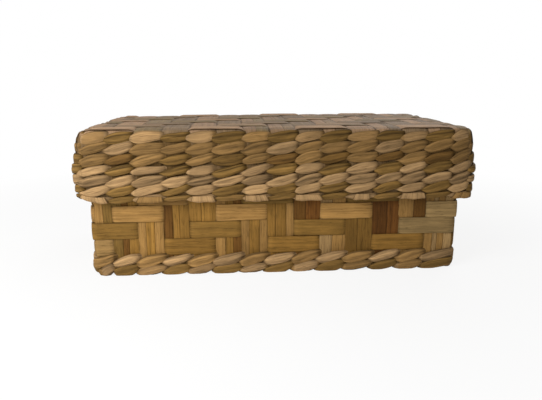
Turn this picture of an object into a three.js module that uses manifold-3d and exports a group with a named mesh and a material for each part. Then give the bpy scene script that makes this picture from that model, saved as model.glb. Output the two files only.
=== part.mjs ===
// Woven leaf box with a lift-off lid. Millimetres, +Z up, the long front facing -Y.
// The origin is on the ground, under the middle of the box.
//
// Base: flat leaf strips cross in the bottom, turn up at its edges and stand as the stakes of the
// four walls. Two twined rows lock the turn. Flat wefts go round the stakes in a twill of two over,
// two under, and each stake that ends outside the top weft folds over it and tucks down inside.
// Lid: a second, wider set of strips crosses in the top, turns down and is held by twined rows.
// Every other one folds out round the last row, which locks the skirt's edge.
// A twined row is a pair of strands, one each side of the stakes, that cross at the corners.

import * as THREE from "three";
import { mergeVertices } from "three/addons/utils/BufferGeometryUtils.js";
import Module from "manifold-3d";

// Driving dimensions of the whole box
const BASE_LENGTH = 281; // outside of the base's walls, left to right
const BASE_DEPTH = 145.5; // outside of the base's walls, front to back
const LID_CLEARANCE = 1; // between the base's walls and the lid's inner strands

// Leaf stock
const LEAF = 1.2; // thickness of a flat strip
const FIT = 0.3; // clearance between pieces that touch
const BEND_RADIUS = 2.5; // of a strip's middle where it turns into a wall

// Base
const BASE_CROSS_STRIPS = 14; // they stand in the front wall, and again in the back wall
const BASE_LONG_STRIPS = 7; // they stand in both end walls
const BASE_FIRST_SHARE = 0.55; // the left cross strip's width, to the next one's
const BASE_STRIP_GROWTH = 0.011; // what each further cross strip gains, in the same measure
const BASE_STRIP_SPACE = 2; // between neighbouring strips
const GROUND_SPACE = 0.4; // under the lowest strip of the bottom
const FOOT_ROW_HEIGHT = 7.4; // of each of the two twined rows at the foot
const FOOT_STRAND_MEET = 0.6; // height that the lower row's two strands share at the corners
const FOOT_OUTER_STRAND = 3.4; // thickness outside the stakes
const FOOT_INNER_STRAND = 3; // thickness inside the stakes
const FOOT_CORNER_RADIUS = 6.4;
const WEFT_COUNT = 7;
const WEFT_HEIGHT = 12.6;
const WEFT_CORNER_RADIUS = 4; // of a weft's middle where it turns outside a corner
const RIM_TAIL = 10; // length of a folded stake's end inside the rim

// Lid
const LID_CROSS_STRIPS = 15;
const LID_LONG_STRIPS = 8;
const LID_LAST_SHARE = 0.66; // width of the right cross strip, to the others'
const LID_STRIP_SPACE = 2;
const LID_ROW_COUNT = 7;
const LID_FIRST_ROW = 8.25; // height of the top row
const LID_ROW_SHRINK = 0.3; // what each row loses in height to the one above
const LID_EDGE_HEIGHT = 5.5; // of the last row with the fold round it
const LID_OUTER_STRAND = 4.2;
const LID_INNER_STRAND = 3.2;
const LID_CORNER_RADIUS = 8;

// Twill
const TWILL_REPEAT = 4; // stakes from one float of a weft to the next
const TWILL_FLOAT = 2; // stakes that a weft lies over

// Facets
const BEND_STEPS = 3; // of a strip's turn into a wall
const FOLD_STEPS = 4; // of a stake's fold over the rim
const CORNER_STEPS = 3; // of a round corner
const LEAST_ROUND = 0.1; // radius under which a corner is left sharp

// Distances that follow from the leaf and its clearance
const CROSSING = LEAF + FIT; // between the middles of two strips that cross
const BESIDE = LEAF / 2 + FIT; // from a stake's middle to a strand beside it
const WEAVE_HALF = CROSSING + LEAF / 2; // from a stake's middle to the weave's outside
const STEP_RUN = 0.4; // along a strip, of its step from one side of the weave to the other

// A round corner's centre lies this far inside the stakes' planes, on a twined row and on a weft
const rowCornerInset = (radius, outerStrand) => radius - BESIDE - outerStrand;
const footCornerInset = rowCornerInset(FOOT_CORNER_RADIUS, FOOT_OUTER_STRAND);
const lidCornerInset = rowCornerInset(LID_CORNER_RADIUS, LID_OUTER_STRAND);
const weftCornerInset = WEFT_CORNER_RADIUS - CROSSING;
const rimTailInset = 2 * CROSSING + LEAF / 2; // inner face of a folded stake's end

// Strips laid side by side from -edge to edge. shares holds the proportions of their widths.
function sideBySide(shares, edge, space) {
  const whole = shares.reduce((sum, share) => sum + share);
  const unit = (2 * edge - (shares.length - 1) * space) / whole;
  let low = -edge;
  return shares.map((share) => {
    const width = share * unit;
    const middle = low + width / 2;
    low += width + space;
    return { middle, width };
  });
}

const equalShares = (count) => Array(count).fill(1);

// The middle of the space between two neighbouring strips
const spaceBetween = (strip, next) =>
  (strip.middle + strip.width / 2 + next.middle - next.width / 2) / 2;

// One set of strips: the planes that its stakes stand in, the edges that the outermost strips keep to,
// which lie at edgeInset from the next wall's stakes, and the strips themselves
function stripSet({ halfX, halfY, edgeInset, space, crossShares, longShares }) {
  const edgeX = halfX - edgeInset;
  const edgeY = halfY - edgeInset;
  return {
    halfX,
    halfY,
    edgeX,
    edgeY,
    crossStrips: sideBySide(crossShares, edgeX, space),
    longStrips: sideBySide(longShares, edgeY, space),
  };
}

const base = stripSet({
  halfX: BASE_LENGTH / 2 - WEAVE_HALF,
  halfY: BASE_DEPTH / 2 - WEAVE_HALF,
  edgeInset: Math.max(rimTailInset, footCornerInset, weftCornerInset) + FIT,
  space: BASE_STRIP_SPACE,
  crossShares: equalShares(BASE_CROSS_STRIPS).map((share, i) =>
    i === 0 ? BASE_FIRST_SHARE : share + (i - 1) * BASE_STRIP_GROWTH,
  ),
  longShares: equalShares(BASE_LONG_STRIPS),
});
const skirtToStake = LID_CLEARANCE + LID_INNER_STRAND + BESIDE;
const lid = stripSet({
  halfX: BASE_LENGTH / 2 + skirtToStake,
  halfY: BASE_DEPTH / 2 + skirtToStake,
  edgeInset: Math.max(lidCornerInset, BEND_RADIUS) + FIT,
  space: LID_STRIP_SPACE,
  crossShares: [...equalShares(LID_CROSS_STRIPS - 1), LID_LAST_SHARE],
  longShares: equalShares(LID_LONG_STRIPS),
});

// Heights, from the ground up
const bottomZ = GROUND_SPACE + WEAVE_HALF; // middle of the bottom's weave
const footInnerFloor = bottomZ + CROSSING + BEND_RADIUS + FIT;
const lowerFootTop = Math.max(FOOT_ROW_HEIGHT, footInnerFloor + FOOT_STRAND_MEET);
const footTop = lowerFootTop + FIT + FOOT_ROW_HEIGHT;
const weftPitch = WEFT_HEIGHT + FIT;
const wallFloor = footTop + FIT;
const wallTop = wallFloor + WEFT_COUNT * weftPitch - FIT;
const rimTop = wallTop + WEAVE_HALF;
const panelZ = rimTop + FIT + WEAVE_HALF; // middle of the lid top's weave
const lidRowHeight = (i) => LID_FIRST_ROW - i * LID_ROW_SHRINK;
const lidRowTop = (i) => panelZ - i * (LID_FIRST_ROW + FIT) + (LID_ROW_SHRINK * i * (i - 1)) / 2;
const edgeRowTop = lidRowTop(LID_ROW_COUNT - 1);
const skirtFloor = edgeRowTop - LID_EDGE_HEIGHT;
const edgeRowFloor = skirtFloor + CROSSING; // the last row leaves room for the fold under it
const edgeStrand = LID_OUTER_STRAND - CROSSING; // and for the folded end outside it
const foldReach = BESIDE + edgeStrand + BESIDE; // from the stakes' middle to the folded end's middle
const skirtInnerTop = panelZ - CROSSING - BEND_RADIUS - FIT;

const leafMaterial = (colour) =>
  new THREE.MeshStandardMaterial({ color: colour, roughness: 0.75, metalness: 0 });
const MATERIALS = {
  baseStrip: leafMaterial(0x9a7a44),
  weft: leafMaterial(0xab8c55),
  foot: leafMaterial(0xa08459),
  lidStrip: leafMaterial(0x98846a),
  lidTwine: leafMaterial(0xa88d62),
};

const box = new THREE.Group();
const baseGroup = new THREE.Group();
const lidGroup = new THREE.Group();
box.add(baseGroup, lidGroup);

function addPiece(group, name, geometry, material) {
  const mesh = new THREE.Mesh(geometry, material);
  mesh.name = name;
  group.add(mesh);
}

const numbered = (name, index) => `${name}_${String(index + 1).padStart(2, "0")}`;

// The twill: whether the strip across (weft or long strip, counted from 1) lies over stake n.
// Two over and two under, stepping by one stake from each strip to the next.
const liesOver = (stake, across) =>
  THREE.MathUtils.euclideanModulo(stake - across, TWILL_REPEAT) < TWILL_FLOAT;

// Points of an arc about a centre, both ends included, angles in radians
function arcPoints(centreX, centreY, radius, from, to, steps) {
  return Array.from({ length: steps + 1 }, (_, i) => {
    const angle = from + ((to - from) * i) / steps;
    return new THREE.Vector2(
      centreX + radius * Math.cos(angle),
      centreY + radius * Math.sin(angle),
    );
  });
}

// One side of a line of points, moved sideways by a distance, with mitred corners.
// Left of the line is positive. A closed line wraps round.
function offsetLine(points, distance, closed) {
  const count = points.length;
  const heading = (from, to) => to.clone().sub(from).normalize();
  return points.map((point, i) => {
    const hasBefore = closed || i > 0;
    const hasAfter = closed || i < count - 1;
    const after = hasAfter ? heading(point, points[(i + 1) % count]) : null;
    const before = hasBefore ? heading(points[(i + count - 1) % count], point) : after;
    const ahead = after ?? before;
    const mitre = before.clone().add(ahead).normalize();
    const reach = distance / mitre.dot(ahead);
    return new THREE.Vector2(point.x - mitre.y * reach, point.y + mitre.x * reach);
  });
}

// A flat strip: its side view is a line of leaf thickness, extruded by the strip's width.
// The line lies in the plane of (across, Z), and toPlace turns that plane into the box's frame.
function stripGeometry(line, width, toPlace) {
  const outline = [
    ...offsetLine(line, -LEAF / 2, false),
    ...offsetLine(line, LEAF / 2, false).reverse(),
  ];
  const geometry = new THREE.ExtrudeGeometry(new THREE.Shape(outline), {
    depth: width,
    bevelEnabled: false,
  });
  geometry.translate(0, 0, -width / 2);
  return geometry.applyMatrix4(toPlace);
}

// Side view to the box's frame: a cross strip's line runs along +Y, a long strip's along +X
const crossPlace = (x) =>
  new THREE.Matrix4()
    .makeBasis(
      new THREE.Vector3(0, 1, 0),
      new THREE.Vector3(0, 0, 1),
      new THREE.Vector3(1, 0, 0),
    )
    .setPosition(x, 0, 0);
const longPlace = (y) =>
  new THREE.Matrix4()
    .makeBasis(
      new THREE.Vector3(1, 0, 0),
      new THREE.Vector3(0, 0, 1),
      new THREE.Vector3(0, -1, 0),
    )
    .setPosition(0, y, 0);

// The level run of a strip between two walls, in its side view, as points from -half to +half.
// sides holds +1 (over) or -1 (under) at each strip that it crosses, or nothing where it lies straight.
function levelRun(z, crossed, sides, half) {
  const points = [];
  for (let i = 0; i + 1 < crossed.length; i++) {
    if (sides[i] === sides[i + 1]) continue;
    const space = spaceBetween(crossed[i], crossed[i + 1]);
    points.push(new THREE.Vector2(space - STEP_RUN / 2, z + sides[i] * CROSSING));
    points.push(new THREE.Vector2(space + STEP_RUN / 2, z + sides[i + 1] * CROSSING));
  }
  const startZ = z + (sides[0] ?? 0) * CROSSING;
  const endZ = z + (sides[sides.length - 1] ?? 0) * CROSSING;
  return { points, startZ, endZ, half };
}

// The turn of a strip at its wall, from the level run at +half outwards: up for the base (turn 1)
// or down for the lid (turn -1)
function wallTurn(half, levelZ, turn) {
  const centreZ = levelZ + turn * BEND_RADIUS;
  return arcPoints(half - BEND_RADIUS, centreZ, BEND_RADIUS, (-turn * Math.PI) / 2, 0, BEND_STEPS);
}

// A stake's top: cut off level with the top weft, or folded over it with a tail inside
function stakeEnd(half, folded) {
  if (!folded) return [new THREE.Vector2(half, wallTop)];
  const fold = arcPoints(half - CROSSING, wallTop, CROSSING, 0, Math.PI, FOLD_STEPS);
  return [...fold, new THREE.Vector2(half - 2 * CROSSING, wallTop - RIM_TAIL)];
}

const mirrored = (points) =>
  points.map((point) => new THREE.Vector2(-point.x, point.y)).reverse();

// A whole strip in side view: one wall, the level run, the other wall
function uStrip(run, turn, endLeft, endRight) {
  const { half } = run;
  return [
    ...mirrored([...wallTurn(half, run.startZ, turn), ...endLeft]),
    ...run.points,
    ...wallTurn(half, run.endZ, turn),
    ...endRight,
  ];
}

// Stakes are counted round the box from 1: the front from left to right, the right end from front
// to back, the back from right to left, the left end from back to front.
const frontStake = (i) => i + 1;
const rightStake = ({ crossStrips }, i) => crossStrips.length + i + 1;
const backStake = ({ crossStrips, longStrips }, i) =>
  crossStrips.length * 2 + longStrips.length - i;
const leftStake = ({ crossStrips, longStrips }, i) =>
  (crossStrips.length + longStrips.length) * 2 - i;

// A stake folds over the rim where the top weft passes inside it
const folds = (stake) => !liesOver(stake, WEFT_COUNT - 1);

function addBaseStrips() {
  base.crossStrips.forEach(({ middle, width }, i) => {
    const run = levelRun(bottomZ, [], [], base.halfY);
    const line = uStrip(
      run,
      1,
      stakeEnd(base.halfY, folds(frontStake(i))),
      stakeEnd(base.halfY, folds(backStake(base, i))),
    );
    const geometry = stripGeometry(line, width, crossPlace(middle));
    addPiece(baseGroup, numbered("base_cross_strip", i), geometry, MATERIALS.baseStrip);
  });
  base.longStrips.forEach(({ middle, width }, i) => {
    const sides = base.crossStrips.map((_, n) => (liesOver(n + 1, i + 1) ? 1 : -1));
    const run = levelRun(bottomZ, base.crossStrips, sides, base.halfX);
    const line = uStrip(
      run,
      1,
      stakeEnd(base.halfX, folds(leftStake(base, i))),
      stakeEnd(base.halfX, folds(rightStake(base, i))),
    );
    const geometry = stripGeometry(line, width, longPlace(middle));
    addPiece(baseGroup, numbered("base_long_strip", i), geometry, MATERIALS.baseStrip);
  });
}

// A lid stake's end: cut off at the skirt's edge, or folded out and up round the last row
function skirtEnd(half, stake) {
  if (stake % 2 === 0) return [new THREE.Vector2(half, skirtFloor)];
  const foldZ = skirtFloor + LEAF / 2;
  return [
    new THREE.Vector2(half, foldZ),
    new THREE.Vector2(half + foldReach, foldZ),
    new THREE.Vector2(half + foldReach, edgeRowTop),
  ];
}

function addLidStrips() {
  lid.crossStrips.forEach(({ middle, width }, i) => {
    const run = levelRun(panelZ, [], [], lid.halfY);
    const line = uStrip(
      run,
      -1,
      skirtEnd(lid.halfY, frontStake(i)),
      skirtEnd(lid.halfY, backStake(lid, i)),
    );
    const geometry = stripGeometry(line, width, crossPlace(middle));
    addPiece(lidGroup, numbered("lid_cross_strip", i), geometry, MATERIALS.lidStrip);
  });
  lid.longStrips.forEach(({ middle, width }, i) => {
    const sides = lid.crossStrips.map((_, n) => (liesOver(n + 1, i + 1) ? 1 : -1));
    const run = levelRun(panelZ, lid.crossStrips, sides, lid.halfX);
    const line = uStrip(
      run,
      -1,
      skirtEnd(lid.halfX, leftStake(lid, i)),
      skirtEnd(lid.halfX, rightStake(lid, i)),
    );
    const geometry = stripGeometry(line, width, longPlace(middle));
    addPiece(lidGroup, numbered("lid_long_strip", i), geometry, MATERIALS.lidStrip);
  });
}

// A weft in plan, anticlockwise from the front's left end. Each wall is walked in its own frame,
// along its length and outwards, so that the four walls share one rule. stake is its first one's number.
const { crossStrips, longStrips } = base;
const walkedBack = (strips) =>
  strips.map(({ middle, width }) => ({ middle: -middle, width })).reverse();
const WALLS = [
  { length: base.halfX, reach: base.halfY, strips: crossStrips, angle: 0, stake: frontStake(0) },
  { length: base.halfY, reach: base.halfX, strips: longStrips, angle: 90, stake: rightStake(base, 0) },
  {
    length: base.halfX,
    reach: base.halfY,
    strips: walkedBack(crossStrips),
    angle: 180,
    stake: backStake(base, crossStrips.length - 1),
  },
  {
    length: base.halfY,
    reach: base.halfX,
    strips: walkedBack(longStrips),
    angle: 270,
    stake: leftStake(base, longStrips.length - 1),
  },
];

// A point of a wall's own frame, in plan: along the wall, and outwards from the stakes' plane
function onWall(wall, along, outwards) {
  const point = new THREE.Vector2(along, -(wall.reach + outwards));
  return point.rotateAround(new THREE.Vector2(), THREE.MathUtils.degToRad(wall.angle));
}

// The points where a weft leaves one wall and joins the next
function cornerPoints(wall, next, side, nextSide) {
  const last = wall.strips[wall.strips.length - 1];
  const first = next.strips[0];
  const edge = last.middle + last.width / 2;
  const nextEdge = first.middle - first.width / 2;
  if (side !== nextSide) {
    return [
      onWall(wall, edge + BESIDE, side * CROSSING),
      onWall(next, nextEdge - BESIDE, nextSide * CROSSING),
    ];
  }
  if (side < 0) return [onWall(wall, wall.length - CROSSING, -CROSSING)];
  const turn = arcPoints(
    wall.length - weftCornerInset,
    weftCornerInset,
    WEFT_CORNER_RADIUS,
    -Math.PI / 2,
    0,
    CORNER_STEPS,
  );
  return turn.map(({ x, y }) => onWall(wall, x, -y));
}

function weftLine(weft) {
  const points = [];
  const sideAt = (wall, i) => (liesOver(wall.stake + i, weft) ? 1 : -1);
  WALLS.forEach((wall, w) => {
    const next = WALLS[(w + 1) % WALLS.length];
    const last = wall.strips.length - 1;
    for (let i = 0; i < last; i++) {
      const side = sideAt(wall, i);
      if (side === sideAt(wall, i + 1)) continue;
      const space = spaceBetween(wall.strips[i], wall.strips[i + 1]);
      points.push(onWall(wall, space - STEP_RUN / 2, side * CROSSING));
      points.push(onWall(wall, space + STEP_RUN / 2, -side * CROSSING));
    }
    points.push(...cornerPoints(wall, next, sideAt(wall, last), sideAt(next, 0)));
  });
  return points;
}

function addWefts() {
  for (let weft = 0; weft < WEFT_COUNT; weft++) {
    const line = weftLine(weft);
    const shape = new THREE.Shape(offsetLine(line, -LEAF / 2, true));
    shape.holes.push(new THREE.Path(offsetLine(line, LEAF / 2, true).reverse()));
    const geometry = new THREE.ExtrudeGeometry(shape, {
      depth: WEFT_HEIGHT,
      bevelEnabled: false,
    });
    geometry.translate(0, 0, wallFloor + weft * weftPitch);
    addPiece(baseGroup, `base_wall_weft_${weft + 1}`, geometry, MATERIALS.weft);
  }
}

// Joining and cutting of solids
const solids = await Module();
solids.setup();

function toSolid(geometry) {
  const bare = geometry.clone();
  bare.deleteAttribute("normal");
  bare.deleteAttribute("uv");
  const merged = mergeVertices(bare, 1e-4);
  return new solids.Manifold(
    new solids.Mesh({
      numProp: 3,
      vertProperties: new Float32Array(merged.attributes.position.array),
      triVerts: new Uint32Array(merged.index.array),
    }),
  );
}

function toGeometry(solid) {
  const mesh = solid.getMesh();
  return new THREE.BufferGeometry()
    .setAttribute("position", new THREE.BufferAttribute(mesh.vertProperties, 3))
    .setIndex(new THREE.BufferAttribute(mesh.triVerts, 1));
}

// A rectangle in plan with round corners, anticlockwise
function roundedOutline(halfX, halfY, radius) {
  const quarter = Math.PI / 2;
  if (radius < LEAST_ROUND) {
    return [
      new THREE.Vector2(halfX, halfY),
      new THREE.Vector2(-halfX, halfY),
      new THREE.Vector2(-halfX, -halfY),
      new THREE.Vector2(halfX, -halfY),
    ];
  }
  const corners = [
    [halfX - radius, halfY - radius],
    [radius - halfX, halfY - radius],
    [radius - halfX, radius - halfY],
    [halfX - radius, radius - halfY],
  ];
  return corners.flatMap(([x, y], i) =>
    arcPoints(x, y, radius, i * quarter, (i + 1) * quarter, CORNER_STEPS),
  );
}

// A ring round the box between two distances out from the stakes' planes, from one height to another.
// Its corners are round about one centre, which lies at centreInset inside the stakes' planes.
function ring(frame, nearOut, farOut, centreInset, [low, high]) {
  const outline = (out) =>
    roundedOutline(frame.halfX + out, frame.halfY + out, out + centreInset);
  const shape = new THREE.Shape(outline(farOut));
  shape.holes.push(new THREE.Path(outline(nearOut).reverse()));
  const geometry = new THREE.ExtrudeGeometry(shape, { depth: high - low, bevelEnabled: false });
  return toSolid(geometry.translate(0, 0, low));
}

// The crossing of a row's two strands at one corner: it fills the space between the two walls' last
// stakes, and reaches half a leaf into the outer strand
function cornerCrossing(frame, signX, signY, [low, high]) {
  const edgeX = frame.edgeX + FIT;
  const edgeY = frame.edgeY + FIT;
  const sizeX = frame.halfX + BESIDE + LEAF / 2 - edgeX;
  const sizeY = frame.halfY + BESIDE + LEAF / 2 - edgeY;
  const block = new THREE.BoxGeometry(sizeX, sizeY, high - low);
  block.translate(
    signX * (edgeX + sizeX / 2),
    signY * (edgeY + sizeY / 2),
    (low + high) / 2,
  );
  return toSolid(block);
}

// A twined row: its outer strand, its inner strand and their crossings at the four corners
function twinedRow(frame, { outer, inner, outerStrand, innerStrand, centreInset }) {
  const shared = [Math.max(outer[0], inner[0]), Math.min(outer[1], inner[1])];
  let row = ring(frame, BESIDE, BESIDE + outerStrand, centreInset, outer);
  row = row.add(ring(frame, -BESIDE - innerStrand, -BESIDE, centreInset, inner));
  const signs = [-1, 1];
  signs.forEach((signX) =>
    signs.forEach((signY) => {
      row = row.add(cornerCrossing(frame, signX, signY, shared));
    }),
  );
  return toGeometry(row);
}

function addFootRows() {
  const innerHeight = (footTop - footInnerFloor - FIT) / 2;
  const rows = [
    { name: "lower", outer: [0, lowerFootTop], innerFloor: footInnerFloor },
    {
      name: "upper",
      outer: [lowerFootTop + FIT, footTop],
      innerFloor: footInnerFloor + innerHeight + FIT,
    },
  ];
  rows.forEach(({ name, outer, innerFloor }) => {
    const geometry = twinedRow(base, {
      outer,
      inner: [innerFloor, innerFloor + innerHeight],
      outerStrand: FOOT_OUTER_STRAND,
      innerStrand: FOOT_INNER_STRAND,
      centreInset: footCornerInset,
    });
    addPiece(baseGroup, `base_foot_twine_${name}`, geometry, MATERIALS.foot);
  });
}

// Lid rows are counted from the top. The first one's inner strand stays under the lid top's turn,
// and the last one is smaller by the fold that goes round it.
function addLidRows() {
  for (let i = 0; i < LID_ROW_COUNT; i++) {
    const high = lidRowTop(i);
    const isEdge = i === LID_ROW_COUNT - 1;
    const low = isEdge ? edgeRowFloor : high - lidRowHeight(i);
    const geometry = twinedRow(lid, {
      outer: [low, high],
      inner: [low, Math.min(high, skirtInnerTop)],
      outerStrand: isEdge ? edgeStrand : LID_OUTER_STRAND,
      innerStrand: LID_INNER_STRAND,
      centreInset: lidCornerInset,
    });
    addPiece(lidGroup, `lid_twine_row_${i + 1}`, geometry, MATERIALS.lidTwine);
  }
}

addBaseStrips();
addWefts();
addFootRows();
addLidStrips();
addLidRows();

export default box;
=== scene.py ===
"""Looks of a woven leaf box with a lift-off lid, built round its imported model.

Every piece is a thin closed surface: a section carried along a path. Flat strips follow the side view
of the box, wall wefts and twined strands go round it in plan. Lengths are in millimetres until
grid_mesh turns them into metres.
"""

from dataclasses import dataclass
from math import asin, pi, radians, tau

import bpy
import numpy as np
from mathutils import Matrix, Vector


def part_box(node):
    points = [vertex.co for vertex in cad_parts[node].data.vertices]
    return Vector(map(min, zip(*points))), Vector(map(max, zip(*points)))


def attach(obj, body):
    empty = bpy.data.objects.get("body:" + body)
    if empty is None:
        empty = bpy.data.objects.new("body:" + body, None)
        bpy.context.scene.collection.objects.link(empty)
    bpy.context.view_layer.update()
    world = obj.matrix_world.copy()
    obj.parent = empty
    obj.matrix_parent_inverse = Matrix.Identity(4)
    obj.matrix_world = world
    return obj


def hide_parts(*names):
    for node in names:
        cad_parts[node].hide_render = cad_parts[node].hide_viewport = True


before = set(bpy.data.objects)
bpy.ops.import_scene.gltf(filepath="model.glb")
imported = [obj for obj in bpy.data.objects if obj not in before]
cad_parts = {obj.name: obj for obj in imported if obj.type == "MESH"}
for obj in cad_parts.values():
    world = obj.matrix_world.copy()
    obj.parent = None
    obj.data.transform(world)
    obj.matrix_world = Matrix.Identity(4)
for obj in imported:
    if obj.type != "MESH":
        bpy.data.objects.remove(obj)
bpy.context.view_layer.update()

MM = 0.001
SEED = 20
CAD_LEAF = 1.2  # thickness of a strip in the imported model

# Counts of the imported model
BASE_CROSS_STRIPS = 14
BASE_LONG_STRIPS = 7
LID_CROSS_STRIPS = 15
LID_LONG_STRIPS = 8
WEFTS = 7
LID_ROWS = 7
TWILL = 2  # stakes that a strip across lies over, and then under

# Fineness of the meshes
STEP = 2.0  # between two sections of a strip
ARC_STEPS = 6  # in a turn or a fold
COLUMNS = 21  # across a strip
SAMPLES_PER_STAKE = 10  # along a weft
SAMPLES_PER_STITCH = 14  # along a strand
SECTION_POINTS = 30  # round a strand
SHARP_ANGLE = radians(45)  # from which an edge stays sharp
GRAIN_ROUND = 18.0  # length of the grain's map round a strand
GRAIN_SHIFT = 400.0  # greatest random shift of a piece in that map

# Leaf strips
LEAF = 0.95  # thickness at the middle of a strip
EDGE_SHARE = 0.5  # of that thickness at a strip's edges
EDGE_GAIN = 1.05  # of a leaf on each side, over the width of its plain solid
CORNER_GAIN = 1.5  # and of the outermost ones towards the corner
STRIP_BOW = 0.15  # of a strip's middle, outwards
RIPPLE_TURN = 3.0  # radians of a ripple from a strip's middle to its edge
STAKE_SWAY = 0.6  # of a stake, in or out of its plane, where a weft crosses it
WEFT_SWAY = 1.1  # of a weft or a long strip where it crosses a stake
CROSSING_SHARE = 0.4  # of the way between two crossings, to go over or under
TURN_RADIUS = 2.5  # where a strip turns into a wall
RIM_RADIUS = 1.35  # where a stake folds over the top weft
RIM_TAIL = 9.0  # of a stake's end inside the rim
CORNER_PUSH = 0.7  # of a weft, outwards at a corner
CORNER_PUSH_REACH = 6.0  # along the weft, over which that falls off
SKIRT_SHARE = 0.96  # of a lid strip's width in the skirt
SKIRT_START = 0.4  # below the top, where a lid strip turns into a stake
SKIRT_BLEND = 5.0  # height over which it does

# Hems of the skirt
HEM_RADIUS = 1.75  # where a stake folds outwards round the skirt's last row
HEM_TAIL = 5.0  # height of a hem above its fold
HEM_LEAN = 2.3  # of a hem's end towards the skirt
HEM_BOW = 0.35  # taken off a strip's bow in its hem, which then bows to the other face
HEM_PLEAT = 0.22  # half height of the pleats across a hem
HEM_PLEATS = 1.7  # waves of them across a hem
HEM_TAPER = 0.2  # share of a hem's width that its end lacks
HEM_WIDTH_SPREAD = 0.08  # random, as a share of the width
HEM_SHIFT_SPREAD = 1.2  # random, of a hem's end to either side

# Cracks between the leaves of a strip
CRACK_WIDTH = 0.35
CRACK_DEPTH = 0.3
CRACK_INSIDE = 0.6  # share of that depth on the strip's inside
CRACK_STRAY = 0.12  # from an even place, as a share of the half width
CRACK_COLUMNS = (-1, -0.4, 0, 0.4, 1)  # places across a crack, in its widths
CRACK_CLEARANCE = 1.6  # from a crack to the next even column, in its widths
CRACK_SPREAD = 0.5  # of its darkness, in its widths

# Uneven shape of the lid and the foot
LID_DOME = 0.2  # rise of the lid's top at its middle
LID_SETTLE = 1.35  # fall of the lid's top at its back left corner
SETTLE_START = 20.0  # right of the middle, where it begins to fall
SETTLE_DEPTH = 22.0  # below the top, where the skirt has not settled
CORNER_LIFT = 4.5  # rise of the skirt's edge at its front left corner
CORNER_LIFT_DEPTH = 10.5  # above the edge, where it is not lifted
CORNER_LIFT_REACH = 9.0  # round that corner, over which the lift falls off
TOP_ROUND_LEFT = 4.0  # lean of the left end at the lid's top edge
TOP_ROUND_RIGHT = 2.4
TOP_ROUND_DEPTH = 12.0  # below the top, where the ends do not lean in
FOOT_ROUND = 2.6  # lean of both ends at the foot's lower edge
FOOT_ROUND_DEPTH = 9.0
ROUND_REACH = 22.0  # from an end towards the middle, where nothing leans in

# Slow drifts along a piece: how much, and the numbers of waves in its length
COLUMN_DRIFT = (0.02, (3, 7, 11))  # of the lines along a strip, as a share of its half width
EDGE_DRIFT = (0.2, (4, 9, 17, 31))  # of a strip's edges
RIPPLE_DRIFT = (0.1, (13, 21, 34))  # of a strip's surface
TONE_DRIFT = (0.07, (2, 5, 8))  # of a strip's tone, as a share
STRIP_DRIFT = (0.28, (2, 5, 9))  # of a strip to either side
WEFT_DRIFT = (0.25, (3, 8, 15))  # of a weft up and down
CREASE_DRIFT = (0.35, (9, 23, 37))  # of a crease round its strand, in radians
ROW_DRIFT = 0.2  # of a whole twined row up and down
ROW_WAVES = (2, 5, 7)

# Loops in plan: radius of their corners, leads past each corner, and random stray of the crossings
WEFT_CORNER = 2.0
FOOT_CORNER = 2.6
FOOT_LEADS = {"lower": (2.4, 2.4, 2.4, 2.4), "upper": (2.4, 2.4, 2.4, -2.4)}
FOOT_STRAY = 0.6
SKIRT_CORNER = 3.9
SKIRT_LEADS = (-3.4, 3.6, 3.6, 3.6)
SKIRT_STRAY = 1.1
STRAY_LIMIT = 2.0  # the greatest stray, in usual ones

# Twined strands
STITCH_FLATNESS = 2.0  # how long a stitch stays outside its stake before it dives
STITCH_LEAD = 0.16  # radians by which a stitch's start lies further out than the last one's end
STITCH_OVERLAP = 0.32  # share of its swing by which a stitch stays outside for longer
STITCH_FULLNESS = 0.76  # power of the section's oval: below 1 it is boxier
POINT_SHARPNESS = 3.0  # of a stitch's taper where it comes out
CLOSE_SHARPNESS = 2.0  # and where it goes in
CLIMB_STEEPNESS = 0.97  # the nearer to 1, the straighter a stitch climbs
CORNER_FULLNESS = 0.45  # share of a stitch's taper that is filled up at the corners
CORNER_REACH = 7.0  # along a strand, over which a corner changes it
TALL_SPREAD = 0.13  # random, of a stitch's height, as a share
TALL_RANGE = (0.75, 1.1)
RISE_SPREAD = 0.3  # random, of its climb, as a share
PLACE_SPREAD = 0.3  # random, up and down
LEAN_SPREAD = 0.06  # random, in radians
CREASES = 4  # round a strand
CREASE_WIDTH = 0.11  # as a share of the strand's width
CREASE_DEPTH = 0.09
FLOOR_GAP = 0.05  # least height of a strand above the floor

# Darker places of the leaves, as shares: painted shade, but for the cracks' own dark colour; and random
# spreads of their tones
STRIP_EDGE_PAINTED_SHADE = 0.35  # painted shade along the edges of a base strip or a weft
LID_EDGE_PAINTED_SHADE = 0.75  # painted shade along those of a lid strip
EDGE_LINE = 0.1  # share of a strip's half width that is such an edge
CRACK_SHADE = 0.75
STAKE_PAINTED_SHADE = 0.55  # painted shade on a lid strip behind the twining
DIVE_PAINTED_SHADE = 0.6  # painted shade at the edges of a strip where it goes over or under
DIVE_MIDDLE = 0.4  # share of that darkness at the strip's middle
DIVE_EDGE = 0.4  # share of the half width over which it grows towards an edge
STITCH_EDGE_PAINTED_SHADE = 0.54  # painted shade along the upper and lower edges of a strand, where the rows meet
STITCH_EDGE_STEEPNESS = 6  # the higher, the narrower those edges
PASS_PAINTED_SHADE = 0.45  # painted shade of a strand where it passes between two stakes
# Painted shade in a strand's creases:
CREASE_PAINTED_SHADE = 0.35
LEAF_TONE_SPREAD = 0.1  # random, of each leaf in a strip, lighter or darker
STITCH_TONE_SPREAD = 0.09  # random, of each stitch

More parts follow.
